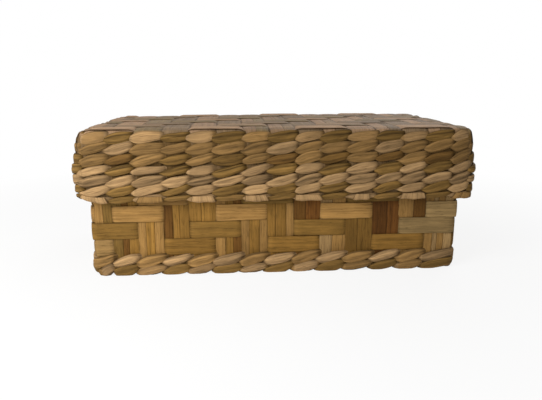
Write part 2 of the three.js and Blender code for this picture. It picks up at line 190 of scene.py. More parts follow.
# Streaks in the leaves
STREAK_DETAIL = 3.0
STREAK_ROUGHNESS = 0.6
BAND_WIDTH = 5  # in fibre widths
BAND_LENGTH = 2.5  # in fibre lengths
BLOTCH = (7.0, 14.0)  # width and length
BLOTCH_CONTRAST = 0.5
SPLIT = (2.2, 70.0)  # width and length
SPLIT_SHARPNESS = 45.0  # how thin the splits along a leaf are
RIDGE_STRENGTH = 0.7
GLOSS_SPREAD = 0.3  # of the roughness, from fibre to fibre
GLOSS = 0.07  # specular level


def linear(red, green, blue):
    """A colour written as screen values of 0 to 255, as linear light, by the sRGB curve."""
    screen = np.array([red, green, blue]) / 255
    return np.where(screen <= 0.04045, screen / 12.92, ((screen + 0.055) / 1.055) ** 2.4)


# Tones of the flat leaves
STRAW = linear(172, 138, 90)
TAN = linear(148, 112, 62)
GOLDEN = linear(136, 100, 46)
OLIVE = linear(118, 90, 44)
BROWN = linear(106, 72, 31)
RED_BROWN = linear(112, 72, 31)
DARK_BROWN = linear(86, 54, 22)
# Mauve, grey and dull green are the lid top's tones: their own, with the cooler top light painted in
MAUVE = linear(140, 112, 84)
GREY = linear(130, 107, 80)
DULL_GREEN = linear(123, 103, 73)
DULL_TAN = linear(138, 113, 73)
# Colour of the cracks between leaves, their own, and of the painted shade along the strips' edges
CRACK_AND_SHADE = linear(56, 38, 17)

# Tones of the twined strands
PALE = linear(159, 127, 87)
MID = linear(132, 101, 59)
DARK = linear(116, 88, 45)
DEEP = linear(106, 77, 38)


def node_box(name):
    """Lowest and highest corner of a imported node, in millimetres."""
    low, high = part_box(name)
    return np.array(low) / MM, np.array(high) / MM


def piece_rng(name):
    """Random numbers of one piece, the same in every run."""
    return np.random.default_rng([SEED, *name.encode()])


def smooth(share):
    """Smoothstep: 0 to 1 with level ends, for shares clipped to that range."""
    share = np.clip(share, 0, 1)
    return share * share * (3 - 2 * share)


def mix(first, second, share):
    """A straight blend: first at a share of 0 and second at a share of 1."""
    return first + (second - first) * share


def weave_wave(place, crossings, levels):
    """Height of a strip that passes over and under: level at each crossing, with a smoothstep between
    two neighbouring crossings that takes the crossing share of the way."""
    crossings = np.asarray(crossings, float)
    levels = np.asarray(levels, float)
    left = np.clip(np.searchsorted(crossings, place, side="right") - 1, 0, len(crossings) - 2)
    way = (place - crossings[left]) / (crossings[left + 1] - crossings[left])
    rise = smooth((way - (1 - CROSSING_SHARE) / 2) / CROSSING_SHARE)
    return mix(levels[left], levels[left + 1], rise)


def diving(wave):
    """1 where a weave wave of -1 to 1 passes its middle, falling off as a cube to either side."""
    return (1 - np.abs(wave)) ** 3


def wander(place, period, rng, amount, waves):
    """A slow irregular drift: a sum of sines with whole numbers of waves in the period, so that it
    closes on itself, each with a random phase and a height that falls with its number."""
    counts = np.array(waves)
    phases = rng.uniform(0, tau, len(counts))
    sines = np.sin(tau * np.multiply.outer(place, counts) / period + phases)
    return amount * (sines / np.sqrt(counts)).sum(axis=-1)


def lies_over(stake, across):
    """The twill: a strip across lies over two stakes and under two, one stake further in each row."""
    return (stake - across) % (2 * TWILL) < TWILL


def signed_volume(points, faces):
    """Volume inside quads, as the sum of each half quad's tetrahedron with the origin."""
    corners = points[faces]
    first = np.einsum("ij,ij->i", corners[:, 0], np.cross(corners[:, 1], corners[:, 2]))
    second = np.einsum("ij,ij->i", corners[:, 0], np.cross(corners[:, 2], corners[:, 3]))
    return (first + second).sum() / 6


def grid_mesh(name, points, uv, colours, looped):
    """A mesh from points[along, around]: the section is closed, the path too if looped, and otherwise
    both ends are capped by quads between the section's two halves. uv has one more column than the
    points, so that the seam keeps its own coordinates, and one more row if looped."""
    along, around = points.shape[:2]
    rows = np.arange(along if looped else along - 1)
    i, j = np.meshgrid(rows, np.arange(around), indexing="ij")
    row_at = np.stack([i, i + 1, i + 1, i], axis=-1).reshape(-1, 4)
    column_at = np.stack([j, j, j + 1, j + 1], axis=-1).reshape(-1, 4)
    if not looped:
        k = np.arange(around // 2 - 1)
        cap = np.stack([k, k + 1, around - 2 - k, around - 1 - k], axis=-1)
        row_at = np.concatenate([row_at, np.zeros_like(cap), np.full_like(cap, along - 1)])
        column_at = np.concatenate([column_at, cap, cap[:, ::-1]])
    flat = points.reshape(-1, 3)
    faces = (row_at % along) * around + column_at % around
    if signed_volume(flat, faces) < 0:
        faces = faces[:, ::-1]
        row_at = row_at[:, ::-1]
        column_at = column_at[:, ::-1]
    mesh = bpy.data.meshes.new(name)
    mesh.vertices.add(len(flat))
    mesh.vertices.foreach_set("co", (flat * MM).astype(np.float32).ravel())
    mesh.loops.add(faces.size)
    mesh.loops.foreach_set("vertex_index", faces.astype(np.int32).ravel())
    mesh.polygons.add(len(faces))
    mesh.polygons.foreach_set("loop_start", np.arange(0, faces.size, 4, dtype=np.int32))
    mesh.polygons.foreach_set("use_smooth", np.ones(len(faces), dtype=bool))
    mesh.update(calc_edges=True)
    layer = mesh.uv_layers.new(name="grain")
    layer.data.foreach_set("uv", uv[row_at, column_at].astype(np.float32).ravel())
    paint = mesh.attributes.new("leaf_colour", "FLOAT_COLOR", "POINT")
    opaque = np.concatenate([colours.reshape(-1, 3), np.ones((len(flat), 1))], axis=1)
    paint.data.foreach_set("color", opaque.astype(np.float32).ravel())
    mesh.set_sharp_from_angle(angle=SHARP_ANGLE)
    mesh.validate()
    return mesh


def add_object(name, data):
    """A new object in the scene, at the origin."""
    item = bpy.data.objects.new(name, data)
    bpy.context.scene.collection.objects.link(item)
    return item


def math_node(operation, reflected=False):
    """A method that adds a Math node on two values, which change places if reflected."""

    def method(self, other):
        values = {0: other, 1: self} if reflected else {0: self, 1: other}
        return self.nodes.node("ShaderNodeMath", {"operation": operation}, values)

    return method


class Wire:
    """One socket of a node tree, with arithmetic on values."""

    def __init__(self, nodes, socket):
        self.nodes = nodes
        self.socket = socket

    __add__ = math_node("ADD")
    __radd__ = math_node("ADD", True)
    __sub__ = math_node("SUBTRACT")
    __rsub__ = math_node("SUBTRACT", True)
    __mul__ = math_node("MULTIPLY")
    __rmul__ = math_node("MULTIPLY", True)
    at_least = math_node("MAXIMUM")

    def __abs__(self):
        return math_node("ABSOLUTE")(self, 0.0)


class Nodes:
    """The node tree of a material or the world. node adds any node, and arithmetic on the Wires that it
    gives adds Math nodes."""

    def __init__(self, owner):
        owner.use_nodes = True
        self.tree = owner.node_tree
        self.tree.nodes.clear()

    def node(self, kind, settings=None, sockets=None, output=0):
        """Adds a node of a type, sets its settings, then fills its sockets with values or Wires."""
        node = self.tree.nodes.new(kind)
        for key, value in (settings or {}).items():
            setattr(node, key, value)
        for key, value in (sockets or {}).items():
            if isinstance(value, Wire):
                self.tree.links.new(value.socket, node.inputs[key])
            else:
                node.inputs[key].default_value = value
        return Wire(self, node.outputs[output]) if node.outputs else None

    def seen_directly(self):
        """1 where the camera, a mirror or a glass looks, and 0 for the light that falls on surfaces."""
        kinds = ("Is Camera Ray", "Is Glossy Ray", "Is Transmission Ray")
        camera, glossy, transmission = [self.node("ShaderNodeLightPath", output=kind) for kind in kinds]
        return camera + glossy + transmission


def leaf_finish(name, fibre_width, fibre_length, roughness, relief, contrast, split_shade):
    """Dried leaf: the piece's own colour, streaked by fibres along it, blotched, split by thin dark
    lines and a little ridged."""
    material = bpy.data.materials.new(name)
    nodes = Nodes(material)
    grain = nodes.node("ShaderNodeUVMap", {"uv_map": "grain"})
    colour = nodes.node("ShaderNodeAttribute", {"attribute_name": "leaf_colour"}, output="Color")

    def streaks(width, length):
        """Noise of -0.5 to 0.5, stretched to a width across the leaf and a length along it."""
        stretch = {0: grain, 1: (1 / length, 1 / width, 0)}
        stretched = nodes.node("ShaderNodeVectorMath", {"operation": "MULTIPLY"}, stretch)
        noise = {
            "Vector": stretched,
            "Scale": 1.0,
            "Detail": STREAK_DETAIL,
            "Roughness": STREAK_ROUGHNESS,
        }
        return nodes.node("ShaderNodeTexNoise", {"noise_dimensions": "2D"}, noise) - 0.5

    fibres = streaks(fibre_width, fibre_length)
    bands = streaks(fibre_width * BAND_WIDTH, fibre_length * BAND_LENGTH)
    blotches = streaks(*BLOTCH)
    splits = (1 - SPLIT_SHARPNESS * abs(streaks(*SPLIT))).at_least(0.0)
    shade = 1 + contrast * (fibres + bands) + BLOTCH_CONTRAST * blotches - split_shade * splits
    scaled = {0: colour, "Scale": shade}
    streaked = nodes.node("ShaderNodeVectorMath", {"operation": "SCALE"}, scaled)
    ridges = {"Strength": RIDGE_STRENGTH, "Distance": relief * MM, "Height": fibres + bands}
    skin = {
        "Base Color": streaked,
        "Roughness": roughness + GLOSS_SPREAD * fibres,
        "Specular IOR Level": GLOSS,
        "Normal": nodes.node("ShaderNodeBump", {}, ridges),
    }
    surface = nodes.node("ShaderNodeBsdfPrincipled", {}, skin)
    nodes.node("ShaderNodeOutputMaterial", {}, {"Surface": surface})
    return material


FLAT_LEAF = leaf_finish(
    "flat_leaf",
    fibre_width=0.45, fibre_length=28.0, roughness=0.56, relief=0.3, contrast=0.75, split_shade=0.5,
)
LID_LEAF = leaf_finish(
    "weathered_flat_leaf",
    fibre_width=0.45, fibre_length=24.0, roughness=0.6, relief=0.3, contrast=0.8, split_shade=0.3,
)
TWISTED_LEAF = leaf_finish(
    "twisted_leaf",
    fibre_width=0.5, fibre_length=16.0, roughness=0.58, relief=0.45, contrast=1.0, split_shade=0.35,
)


@dataclass
class Strip:
    """One flat strip: its node, the axis it runs along (0 for X, 1 for Y), its middle across that axis,
    its width, the half length from wall to wall, the places of the other strips that cross it and
    whether it lies above them there, and the stakes that its low and high ends are."""

    node: str
    run_axis: int
    middle: float
    width: float
    half: float
    places: np.ndarray
    above: np.ndarray
    stakes: tuple


def places_of(middles, widths):
    """Places of strips that lie side by side: the first one's middle, the space after it, the second
    one's middle and so on."""
    spaces = (middles[:-1] + widths[:-1] / 2 + middles[1:] - widths[1:] / 2) / 2
    places = np.empty(2 * len(middles) - 1)
    places[0::2] = middles
    places[1::2] = spaces
    return places


class StripSet:
    """All strips of the base or of the lid. Stakes are counted round the box from the front's left."""

    def __init__(self, body, cross_count, long_count):
        cross = [f"{body}_cross_strip_{i + 1:02d}" for i in range(cross_count)]
        long = [f"{body}_long_strip_{i + 1:02d}" for i in range(long_count)]
        xs, widths_x = self.side_by_side(cross, 0)
        ys, widths_y = self.side_by_side(long, 1)
        self.places_x = places_of(xs, widths_x)
        self.places_y = places_of(ys, widths_y)
        self.half_x = self.reach(long[0], 0)
        self.half_y = self.reach(cross[0], 1)
        self.stake_count = 2 * (cross_count + long_count)
        cross_numbers = np.arange(1, cross_count + 1)
        long_numbers = np.arange(1, long_count + 1)
        self.strips = []
        for n, node, x, width in zip(cross_numbers, cross, xs, widths_x):
            above = ~lies_over(n, long_numbers)
            stakes = (n, 2 * cross_count + long_count + 1 - n)
            self.strips.append(Strip(node, 1, x, width, self.half_y, self.places_y, above, stakes))
        for n, node, y, width in zip(long_numbers, long, ys, widths_y):
            above = lies_over(cross_numbers, n)
            stakes = (self.stake_count + 1 - n, cross_count + n)
            self.strips.append(Strip(node, 0, y, width, self.half_x, self.places_x, above, stakes))

    @staticmethod
    def side_by_side(names, axis):
        """Middles and widths of several nodes along an axis, the outermost ones a little wider."""
        boxes = np.array([node_box(name) for name in names])
        low, high = boxes[:, 0, axis], boxes[:, 1, axis]
        low[0] -= CORNER_GAIN
        high[-1] += CORNER_GAIN
        return (low + high) / 2, high - low

    @staticmethod
    def reach(name, axis):
        """Distance of a strip's walls from the middle, at the nearer end, which has no hem outside."""
        low, high = node_box(name)
        return min(-low[axis], high[axis]) - CAD_LEAF / 2


class Loop:
    """A rectangle with round corners in plan, walked anticlockwise from the front's left end. Places on
    it are lengths, or counts of stakes: whole counts are level with the stakes' middles, and halves
    with the spaces between them and with the corners, or a lead past each corner from the front's right
    end on. All may stray."""

    def __init__(self, strip_set, radius, corner_leads=(0.0, 0.0, 0.0, 0.0), stray=0.0):
        half_x, half_y = strip_set.half_x, strip_set.half_y
        halves = np.array([half_x, half_y, half_x, half_y]) - radius
        self.stake_count = strip_set.stake_count
        self.radius = radius
        self.corner = np.array([half_x, half_y]) - radius
        lengths = np.stack([2 * halves, np.full(4, radius * pi / 2)], axis=1).ravel()
        self.starts = np.concatenate([[0], np.cumsum(lengths)])[:-1]
        self.total = lengths.sum()
        self.corners = self.starts[1::2] + radius * pi / 4
        there = [strip_set.places_x, strip_set.places_y]
        walls = there + [-places[::-1] for places in there]
        middles = self.starts[0::2] + halves
        ends = zip(middles, walls, self.corners + corner_leads)
        self.knots = np.concatenate([np.append(middle + wall, corner) for middle, wall, corner in ends])
        strays = piece_rng("loop").normal(0, 1, len(self.knots))
        self.knots += strays.clip(-STRAY_LIMIT, STRAY_LIMIT) * stray

    def length(self, count):
        """Length at a count of stakes, straight between the known places."""
        counts = 0.5 + np.arange(len(self.knots) + 1) / 2
        return np.interp(count, counts, np.append(self.knots[-1] - self.total, self.knots))

    def place(self, length):
        """Plan point and outward direction at a length."""
        length = np.mod(length, self.total)
        piece = np.searchsorted(self.starts, length, side="right") - 1
        side, on_arc = piece // 2, piece % 2
        local = length - self.starts[piece]
        turn = side * pi / 2 + on_arc * local / self.radius
        outward = np.stack([np.sin(turn), -np.cos(turn)], axis=-1)
        heading = np.stack([np.cos(turn), np.sin(turn)], axis=-1)
        signs = np.array([[1, -1], [1, 1], [-1, 1], [-1, -1]])
        centre = (signs * self.corner)[(side - 1 + on_arc) % 4]
        straight = (local * (1 - on_arc))[..., None]
        return centre + self.radius * outward + straight * heading, outward

    def near_corner(self, length, reach):
        """1 at a corner's middle, falling off as a bell over the reach."""
        half = self.total / 2
        apart = np.mod(length[:, None] - self.corners + half, self.total) - half
        return np.exp(-((apart / reach) ** 2)).sum(axis=1)


def straight_run(start, end, normal):
    """Points from start towards end in a strip's side view, end left out, with one outward normal."""
    start = np.array(start, float)
    reach = np.array(end, float) - start
    count = max(2, round(np.linalg.norm(reach) / STEP))
    points = start + reach * (np.arange(count) / count)[:, None]
    return points, np.tile(np.array(normal, float), (count, 1))


def round_run(centre, radius, first, last, facing):
    """Points on an arc in a strip's side view, the last left out. facing is 1 where the strip's outside
    is away from the centre, and -1 where it is towards it."""
    angle = first + (last - first) * np.arange(ARC_STEPS) / ARC_STEPS
    spoke = np.stack([np.cos(angle), np.sin(angle)], axis=1)
    return np.array(centre) + radius * spoke, facing * spoke


def swayed(run, sway):
    """A run moved outwards by an amount at each point."""
    points, normals = run
    return points + normals * np.asarray(sway)[:, None], normals


def joined(runs):
    """Several runs as one."""
    return np.concatenate([run[0] for run in runs]), np.concatenate([run[1] for run in runs])


def mirrored(run):
    """A run on the other side of the box, walked the other way."""
    flip = np.array([-1, 1])
    return run[0][::-1] * flip, run[1][::-1] * flip


def in_space(pairs, run_axis, middle):
    """Side-view pairs of place and height as points in space."""
    points = np.full((len(pairs), 3), float(middle))
    points[:, run_axis] = pairs[:, 0]
    points[:, 2] = pairs[:, 1]
    return points


class LeafStyle:
    """How one strip looks: the tones of the leaves that lie side by side in it, where the cracks between
    them lie, as shares from -1 at one edge to 1 at the other, the tone of its ends or of its second
    leaf, and how much painted shade darkens its edges."""

    def __init__(self, tones, rng, end_tone=STRAW, edge_painted_shade=STRIP_EDGE_PAINTED_SHADE):
        spread = rng.uniform(1 - LEAF_TONE_SPREAD, 1 + LEAF_TONE_SPREAD, (len(tones), 1))
        self.tones = np.array(tones) * spread
        self.end_tone = end_tone
        self.edge_painted_shade = edge_painted_shade
        even = np.linspace(-1, 1, len(tones) + 1)[1:-1]
        self.cracks = even + rng.uniform(-CRACK_STRAY, CRACK_STRAY, len(tones) - 1)

    def columns(self, half_width):
        """Places across the strip, denser at its edges and at each crack, with the leaf's number and the
        darkness of the crack at each."""
        even = np.sin(np.linspace(-1, 1, COLUMNS) * pi / 2)
        side = CRACK_WIDTH / half_width
        beside = [self.cracks + offset * side for offset in CRACK_COLUMNS]
        clear = np.all(np.abs(even[:, None] - self.cracks) > CRACK_CLEARANCE * side, axis=1)
        places = np.sort(np.concatenate([even[clear], *beside]))
        apart = np.abs(places[:, None] - self.cracks)
        dark = np.exp(-((apart / (CRACK_SPREAD * side)) ** 2)).sum(axis=1)
        return places, np.searchsorted(self.cracks, places), dark


def ribbon(
    path, normal, across, half_width, style, rng, looped,
    dive, end_share, bow=STRIP_BOW, pleat=0.0, shade=0.0,
):
    """Grid of a flat strip: at each point of the path the section is two lines across the strip,
    half a leaf above and below it, closer at the edges, bowed outwards, pleated by a cosine and notched
    at the cracks. Both edges wander along the length. dive darkens the strip with painted shade where
    it goes over or under, most at its edges, end_share blends in the tone of its ends or of its second
    leaf, and shade darkens it all over with painted shade."""
    length = np.concatenate([[0], np.cumsum(np.linalg.norm(np.diff(path, axis=0), axis=1))])
    total = length[-1] + (np.linalg.norm(path[0] - path[-1]) if looped else 0)
    values = (half_width, end_share, bow, pleat, shade)
    half_width, end, bow, pleat, shade = [np.broadcast_to(v, length.shape)[:, None] for v in values]
    places, leaf, dark = style.columns(half_width.max())
    from_middle = np.abs(places)
    drift = wander(length, total, rng, *COLUMN_DRIFT)[:, None]
    edge = half_width + wander(length, total, rng, *EDGE_DRIFT)[:, None]
    side = (places + drift * (1 - places**2)) * edge
    thick = LEAF / 2 * mix(EDGE_SHARE, 1, 1 - places**4)
    ripple = wander(length, total, rng, *RIPPLE_DRIFT)[:, None] * np.cos(RIPPLE_TURN * places)
    pleats = np.cos(tau * HEM_PLEATS * (places + 1) / 2 + rng.uniform(0, tau))
    middle = ripple + pleat * pleats + bow * (1 - places**2)
    outer = middle + thick - CRACK_DEPTH * dark
    inner = middle - thick + CRACK_DEPTH * CRACK_INSIDE * dark
    height = np.concatenate([outer, inner[:, ::-1]], axis=1)
    side = np.concatenate([side, side[:, ::-1]], axis=1)
    points = path[:, None] + np.array(across) * side[..., None] + normal[:, None] * height[..., None]
    columns = np.concatenate([places, places[::-1], places[:1]]) * half_width.max()
    columns = columns + rng.uniform(0, GRAIN_SHIFT)
    rows = np.append(length, total) if looped else length
    uv = np.stack(np.broadcast_arrays(rows[:, None], columns), axis=-1)
    tone = mix(style.tones[leaf], style.end_tone, end[..., None])
    # Painted shade along the strip's edges, blended towards the crack colour
    painted_edge_dark = style.edge_painted_shade * smooth((from_middle - (1 - EDGE_LINE)) / EDGE_LINE)
    tone = mix(tone, CRACK_AND_SHADE, np.clip(CRACK_SHADE * dark + painted_edge_dark, 0, 1)[:, None])
    # shade is painted shade all over, such as a lid strip's darkness behind the skirt's twining
    fade = (1 + wander(length, total, rng, *TONE_DRIFT)[:, None]) * (1 - shade)
    # Painted shade where the strip goes over or under, growing towards its edges
    near_edge = mix(DIVE_MIDDLE, 1, smooth((from_middle - (1 - DIVE_EDGE)) / DIVE_EDGE))
    tone = tone * (1 - DIVE_PAINTED_SHADE * np.multiply.outer(dive, near_edge))[..., None]
    colours = fade[..., None] * np.concatenate([tone, tone[:, ::-1]], axis=1)
    return points, uv, np.clip(colours, 0, 1)


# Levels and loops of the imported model
base = StripSet("base", BASE_CROSS_STRIPS, BASE_LONG_STRIPS)
lid = StripSet("lid", LID_CROSS_STRIPS, LID_LONG_STRIPS)
bottom_z = node_box("base_cross_strip_01")[0][2] + CAD_LEAF / 2
top_z = node_box("lid_cross_strip_01")[1][2] - CAD_LEAF / 2
hem_floor = node_box("lid_cross_strip_01")[0][2]
foot_top = node_box("base_foot_twine_upper")[1][2]
weft_boxes = [node_box(f"base_wall_weft_{k + 1}") for k in range(WEFTS)]
weft_z = np.array([(low[2] + high[2]) / 2 for low, high in weft_boxes])
wall_top = weft_boxes[-1][1][2]
last_row_floor = node_box(f"lid_twine_row_{LID_ROWS}")[0][2]
weft_loop = Loop(base, WEFT_CORNER)
foot_loops = {name: Loop(base, FOOT_CORNER, leads, FOOT_STRAY) for name, leads in FOOT_LEADS.items()}
skirt_loop = Loop(lid, SKIRT_CORNER, SKIRT_LEADS, SKIRT_STRAY)


def base_side(half, stake):
    """Side view of one wall of a base strip, from the bottom's edge: round the turn, up the wall, in and
    out with the wefts, and, where the stake lies outside the top weft, over it and down inside."""
    turn = round_run((half - TURN_RADIUS, bottom_z + TURN_RADIUS), TURN_RADIUS, -pi / 2, 0, 1)
    outside = ~lies_over(stake, np.arange(WEFTS))
    levels = np.where(outside, STAKE_SWAY, -STAKE_SWAY)
    wall = straight_run((half, bottom_z + TURN_RADIUS), (half, wall_top), (1, 0))
    places = np.concatenate([[bottom_z, foot_top], weft_z, [wall_top]])
    heights = np.concatenate([[0, 0], levels, levels[-1:]])
    wall = swayed(wall, weave_wave(wall[0][:, 1], places, heights))
    if not outside[-1]:
        return joined([turn, wall])
    outer = half + STAKE_SWAY
    inner = outer - 2 * RIM_RADIUS
    fold = round_run((outer - RIM_RADIUS, wall_top), RIM_RADIUS, 0, pi, 1)
    tail = straight_run((inner, wall_top), (inner, wall_top - RIM_TAIL), (-1, 0))
    return joined([turn, wall, fold, tail])


def lid_side(half, stake):
    """Side view of one wall of a lid strip, from the top's edge: round the turn and down the skirt, and,
    for every other stake, outwards round the last row and up again as a hem."""
    turn = round_run((half - TURN_RADIUS, top_z - TURN_RADIUS), TURN_RADIUS, pi / 2, 0, 1)
    if stake % 2 == 0:
        skirt = straight_run((half, top_z - TURN_RADIUS), (half, last_row_floor), (1, 0))
        return joined([turn, skirt])
    fold_z = hem_floor + LEAF / 2 + HEM_RADIUS
    skirt = straight_run((half, top_z - TURN_RADIUS), (half, fold_z), (1, 0))
    fold = round_run((half + HEM_RADIUS, fold_z), HEM_RADIUS, pi, tau, -1)
    outer = half + 2 * HEM_RADIUS
    tail = straight_run((outer, fold_z), (outer, fold_z + HEM_TAIL), (-1, 0))
    tail = swayed(tail, HEM_LEAN * ((tail[0][:, 1] - fold_z) / HEM_TAIL) ** 2)
    return joined([turn, skirt, fold, tail])


def settled(points):
    """Points of the lid, lower towards its back left corner: the fall grows as a smoothstep to the left,
    straight to the back, and as a smoothstep upwards from the settling depth. The skirt's edge is
    higher at the front left corner, by a bell round it and a smoothstep of the height."""
    left = smooth((SETTLE_START - points[..., 0]) / (SETTLE_START + lid.half_x))
    back = np.clip((1 + points[..., 1] / lid.half_y) / 2, 0, 1)
    up = smooth(1 - (top_z - points[..., 2]) / SETTLE_DEPTH)
    apart = points[..., :2] + np.array([lid.half_x, lid.half_y])
    corner = np.exp(-(apart**2).sum(axis=-1) / CORNER_LIFT_REACH**2)
    low = smooth(1 - (points[..., 2] - hem_floor) / CORNER_LIFT_DEPTH)
    moved = points.copy()
    moved[..., 2] += CORNER_LIFT * corner * low - LID_SETTLE * left * back * up
    return moved


def near_end(x, half):
    """1 at both ends of a body, falling off as a smoothstep over the reach towards its middle."""
    return smooth((np.abs(x) - half) / ROUND_REACH + 1)


def rounded(points):
    """Points of both bodies, leaning in at the two ends near the lid's top and the foot: by a parabola
    of the height within a depth of that edge, and by a smoothstep along X."""
    x, z = points[..., 0], points[..., 2]
    top = np.clip(1 - (top_z - z) / TOP_ROUND_DEPTH, 0, 1) ** 2 * near_end(x, lid.half_x)
    foot = np.clip(1 - z / FOOT_ROUND_DEPTH, 0, 1) ** 2 * near_end(x, base.half_x)
    lean = np.where(x < 0, TOP_ROUND_LEFT, TOP_ROUND_RIGHT) * top + FOOT_ROUND * foot
    leaning = points.copy()
    leaning[..., 0] -= np.sign(x) * lean
    return leaning


def add_piece(name, grid, looped, material, node):
    """Puts a grid, with the box's uneven shape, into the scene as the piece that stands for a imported
    node, on that node's body."""
    points, uv, colours = grid
    points = rounded(settled(points) if node.startswith("lid") else points)
    piece = add_object(name, grid_mesh(name, points, uv, colours, looped))
    piece.data.materials.append(material)
    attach(piece, node.split("_")[0])
    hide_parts(node)


def add_strip(strip, side, level, facing, style, material, rng, dome=0.0):
    """One strip: its side view is its low end, the flat run through the bottom or the top, over and
    under the strips that cross it, and its high end. facing is 1 for the lid, where its outside faces
    up, and dome is its rise at the middle, which falls off as a parabola both ways."""
    across_axis = 1 - strip.run_axis
    flat_half = strip.half - TURN_RADIUS
    flat = straight_run((-flat_half, level), (flat_half, level), (0, facing))
    along = flat[0][:, 0]
    crossings = len(strip.above)
    places = np.concatenate([[-flat_half], strip.places, [flat_half]])
    counts = np.concatenate([[0], 1 + np.arange(len(strip.places)) / 2, [crossings + 1]])
    levels = np.concatenate([[0], np.where(strip.above, 1.0, -1.0), [0]])
    wave = weave_wave(np.interp(along, places, counts), np.arange(crossings + 2), levels)
    reach, sway = (lid.half_x, STAKE_SWAY) if strip.run_axis == 1 else (lid.half_y, WEFT_SWAY)
    rise = dome * (1 - (along / strip.half) ** 2) * (1 - (strip.middle / reach) ** 2)
    flat = swayed(flat, facing * (wave * sway + rise))
    low, high = [side(strip.half, stake) for stake in strip.stakes]
    pairs, normals = joined([mirrored(low), flat, high])
    from_middle, z = np.abs(pairs[:, 0]), pairs[:, 1]
    in_skirt = smooth((top_z - SKIRT_START - z) / SKIRT_BLEND) if facing == 1 else np.zeros(len(z))
    # A hem lies fully outside its wall, and a base stake bulges out a little over each weft
    outside = smooth((from_middle - strip.half) / HEM_RADIUS)
    folded = from_middle > strip.half + HEM_RADIUS
    tail = np.where(folded, smooth((z - hem_floor) / (HEM_TAIL + HEM_RADIUS)), 0)
    half_width = (strip.width / 2 + EDGE_GAIN) * (1 - (1 - SKIRT_SHARE) * in_skirt)
    widened = 1 + rng.normal(0, HEM_WIDTH_SPREAD) * outside
    half_width = half_width * (1 - HEM_TAPER * tail) * widened
    path = in_space(pairs, strip.run_axis, strip.middle)
    path[:, across_axis] += rng.normal(0, HEM_SHIFT_SPREAD) * tail
    path[:, across_axis] += wander(np.arange(len(path)), len(path), rng, *STRIP_DRIFT)
    # Painted shade where the strip goes over or under one that crosses it
    dive = np.concatenate([np.zeros(len(low[0])), diving(wave), np.zeros(len(high[0]))])
    # The last argument is the painted shade of a lid strip behind the twining, left off its hem
    grid = ribbon(
        path, in_space(normals, strip.run_axis, 0), np.eye(3)[across_axis], half_width, style, rng,
        False, dive, in_skirt, STRIP_BOW - HEM_BOW * outside, HEM_PLEAT * outside,
        STAKE_PAINTED_SHADE * in_skirt * (1 - outside),
    )
    add_piece(f"{strip.node}_leaf", grid, False, material, strip.node)


def add_weft(number, half_width, leaf, second_leaf, splice_start, splice_end):
    """One wall weft: a hoop that weaves out over the stakes it covers and in behind the others, pushed
    out at the corners by a bell. Its second leaf lies between two counts of stakes."""
    node = f"base_wall_weft_{number + 1}"
    rng = piece_rng(node)
    count = 0.5 + np.arange(base.stake_count * SAMPLES_PER_STAKE) / SAMPLES_PER_STAKE
    length = weft_loop.length(count)
    plan, outward = weft_loop.place(length)
    knots = np.arange(base.stake_count + 2)
    stakes = (knots - 1) % base.stake_count + 1
    wave = weave_wave(count, knots, np.where(lies_over(stakes, number), 1, -1))
    out = WEFT_SWAY * wave + CORNER_PUSH * weft_loop.near_corner(length, CORNER_PUSH_REACH)
    height = weft_z[number] + wander(length, weft_loop.total, rng, *WEFT_DRIFT)
    path = np.column_stack([plan + outward * out[:, None], height])
    normal = np.column_stack([outward, np.zeros(len(outward))])
    style = LeafStyle([leaf], rng, second_leaf)
    spliced = np.mod(count - splice_start, base.stake_count) < splice_end - splice_start
    grid = ribbon(path, normal, (0, 0, 1), half_width, style, rng, True, diving(wave), spliced)
    add_piece(f"{node}_leaf", grid, True, FLAT_LEAF, node)


# Leaves that lie side by side in the base's cross strips, from the left of the front wall: their own
# tones, with factors below 1 towards the right end that are partly painted shade for the light's falloff
FRONT_WALL_LEAVES = [
    [TAN * 1.15, OLIVE * 1.15],
    [OLIVE, BROWN, GOLDEN],
    [TAN * 1.1, GOLDEN * 1.15, TAN * 1.1],
    [BROWN, GOLDEN * 1.15, GOLDEN],
    [GOLDEN, GOLDEN * 1.25],
    [TAN, GOLDEN, BROWN],
    [TAN, GOLDEN, TAN],
    [GOLDEN, GOLDEN * 0.9, TAN],
    [BROWN, RED_BROWN],
    [STRAW * 0.85, TAN * 1.15],
    [GOLDEN * 0.75, GOLDEN * 0.85],
    [DARK_BROWN, DARK_BROWN * 1.3],
    [TAN * 0.95, BROWN * 0.9],
    [TAN * 0.95, STRAW * 0.9, TAN * 0.9, STRAW * 0.95],
]

# Leaves that the other strips and the hems are drawn from
WALL_LEAVES = [STRAW, TAN, GOLDEN, GOLDEN, OLIVE, BROWN]
# The lid's leaves: mauve-grey on the top, with the cooler light from above painted in
LID_LEAVES = [MAUVE, MAUVE * 1.25, GREY * 1.1, GREY * 0.85, DULL_GREEN]
HEM_LEAVES = [PALE * 1.1, MID * 1.15]

# How many leaves a strip has: at least the first number, and fewer than the second
WALL_LEAF_COUNTS = (2, 4)
LID_LEAF_COUNTS = (1, 3)

# Each wall weft from the foot up: its two leaves, and the stakes between which the second one lies
WEFT_LEAVES = [
    (GOLDEN * 0.95, (DULL_TAN + TAN) * 0.56, 38.5, 44.5),
    ((GOLDEN + OLIVE) / 2, DULL_TAN * 0.98, 11.5, 27.5),
    # The third weft, just under the lid: its own light tan, lightened by factors above 1 as painted
    # light against the lid's shadow
    (TAN * 1.3, DULL_TAN * 1.2, 12.5, 24.5),
    (TAN, OLIVE, 5.5, 21.5),
    (GOLDEN, TAN, 18.5, 38.5),
    (OLIVE, GOLDEN, 11.5, 31.5),
    (TAN, STRAW, 16.5, 32.5),
]


def chosen(rng, tones, count):
    """Some tones, drawn at random."""
    return [tones[k] for k in rng.integers(0, len(tones), count)]


